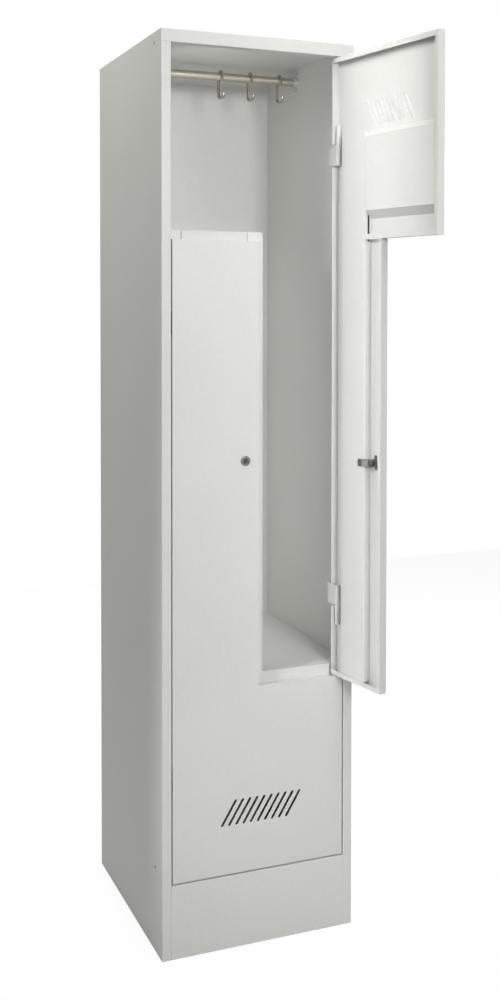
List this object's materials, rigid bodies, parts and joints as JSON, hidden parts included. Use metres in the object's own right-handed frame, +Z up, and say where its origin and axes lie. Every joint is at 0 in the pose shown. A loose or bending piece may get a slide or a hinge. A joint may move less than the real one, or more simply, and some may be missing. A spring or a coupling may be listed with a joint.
{
  "type": "z-locker",
  "caption": "Steel two-person locker with interlocking L-shaped doors, hat shelf, partition, coat rails with sliding hooks, cam locks and plinth.",
  "frame": {"origin": "at floor level under the middle of the locker's front face", "axes": "+X to the right as seen from the front, +Y from the front face to the back, +Z up"},
  "size_m": [0.4303, 0.8403, 1.8],
  "materials": {
    "light_grey_paint": "fine-textured light grey powder coat",
    "bright_nickel": "bright nickel plate",
    "zinc_plated_steel": "dull zinc plate"
  },
  "bodies": {
    "carcass": {"left_side_panel": "light_grey_paint", "right_side_panel": "light_grey_paint", "back_panel": "light_grey_paint", "top_panel": "light_grey_paint", "plinth_front": "light_grey_paint", "floor_panel": "light_grey_paint", "hat_shelf": "light_grey_paint", "upper_floor": "light_grey_paint", "center_partition": "light_grey_paint", "center_post": "light_grey_paint", "left_hinge_leaves": "light_grey_paint", "right_hinge_leaves": "light_grey_paint", "left_hinge_pins": "zinc_plated_steel", "right_hinge_pins": "zinc_plated_steel", "upper_coat_rail": "zinc_plated_steel", "upper_rail_bracket_left": "light_grey_paint", "upper_rail_bracket_right": "light_grey_paint", "lower_coat_rail": "zinc_plated_steel", "lower_rail_bracket_left": "light_grey_paint", "lower_rail_bracket_right": "light_grey_paint"},
    "upper_door": {"upper_door_skin": "light_grey_paint", "upper_door_stiffener": "light_grey_paint", "upper_door_pressing": "light_grey_paint", "upper_door_knuckles": "light_grey_paint", "upper_lock_housing": "bright_nickel", "upper_lock_clip": "zinc_plated_steel"},
    "upper_lock": {"upper_lock_plug": "bright_nickel", "upper_lock_cam": "zinc_plated_steel", "upper_lock_screw": "zinc_plated_steel"},
    "lower_door": {"lower_door_skin": "light_grey_paint", "lower_door_stiffener": "light_grey_paint", "lower_door_pressing": "light_grey_paint", "lower_door_knuckles": "light_grey_paint", "lower_lock_housing": "bright_nickel", "lower_lock_clip": "zinc_plated_steel"},
    "lower_lock": {"lower_lock_plug": "bright_nickel", "lower_lock_cam": "zinc_plated_steel", "lower_lock_screw": "zinc_plated_steel"},
    "upper_hook_first": {"upper_hook_first": "bright_nickel"},
    "upper_hook_second": {"upper_hook_second": "bright_nickel"},
    "upper_hook_third": {"upper_hook_third": "bright_nickel"},
    "lower_hook_first": {"lower_hook_first": "bright_nickel"},
    "lower_hook_second": {"lower_hook_second": "bright_nickel"},
    "lower_hook_third": {"lower_hook_third": "bright_nickel"}
  },
  "joints": [
    {"name": "upper_door_hinge", "type": "hinge", "parent": "carcass", "child": "upper_door", "pos_m": [0.17, 0.006, 1.1], "axis": [0, 0, 1], "range_deg": [-99, 11]},
    {"name": "lower_door_hinge", "type": "hinge", "parent": "carcass", "child": "lower_door", "pos_m": [-0.17, 0.006, 0.8], "axis": [0, 0, -1], "range_deg": [0, 110]},
    {"name": "upper_lock_turn", "type": "hinge", "parent": "upper_door", "child": "upper_lock", "pos_m": [0.19767, -0.13035, 0.967], "axis": [-0.9877, -0.1564, 0], "range_deg": [0, 180]},
    {"name": "lower_lock_turn", "type": "hinge", "parent": "lower_door", "child": "lower_lock", "pos_m": [-0.031, 0, 0.967], "axis": [0, 1, 0], "range_deg": [0, 180]},
    {"name": "upper_hook_first_slide", "type": "slide", "parent": "carcass", "child": "upper_hook_first", "axis": [1, 0, 0], "range_m": [-0.195, 0.03]},
    {"name": "upper_hook_second_slide", "type": "slide", "parent": "carcass", "child": "upper_hook_second", "axis": [1, 0, 0], "range_m": [-0.03, 0.03]},
    {"name": "upper_hook_third_slide", "type": "slide", "parent": "carcass", "child": "upper_hook_third", "axis": [1, 0, 0], "range_m": [-0.03, 0.024]},
    {"name": "lower_hook_first_slide", "type": "slide", "parent": "carcass", "child": "lower_hook_first", "axis": [1, 0, 0], "range_m": [-0.03, 0.02]},
    {"name": "lower_hook_second_slide", "type": "slide", "parent": "carcass", "child": "lower_hook_second", "axis": [1, 0, 0], "range_m": [-0.02, 0.02]},
    {"name": "lower_hook_third_slide", "type": "slide", "parent": "carcass", "child": "lower_hook_third", "axis": [1, 0, 0], "range_m": [-0.02, 0.03]}
  ]
}
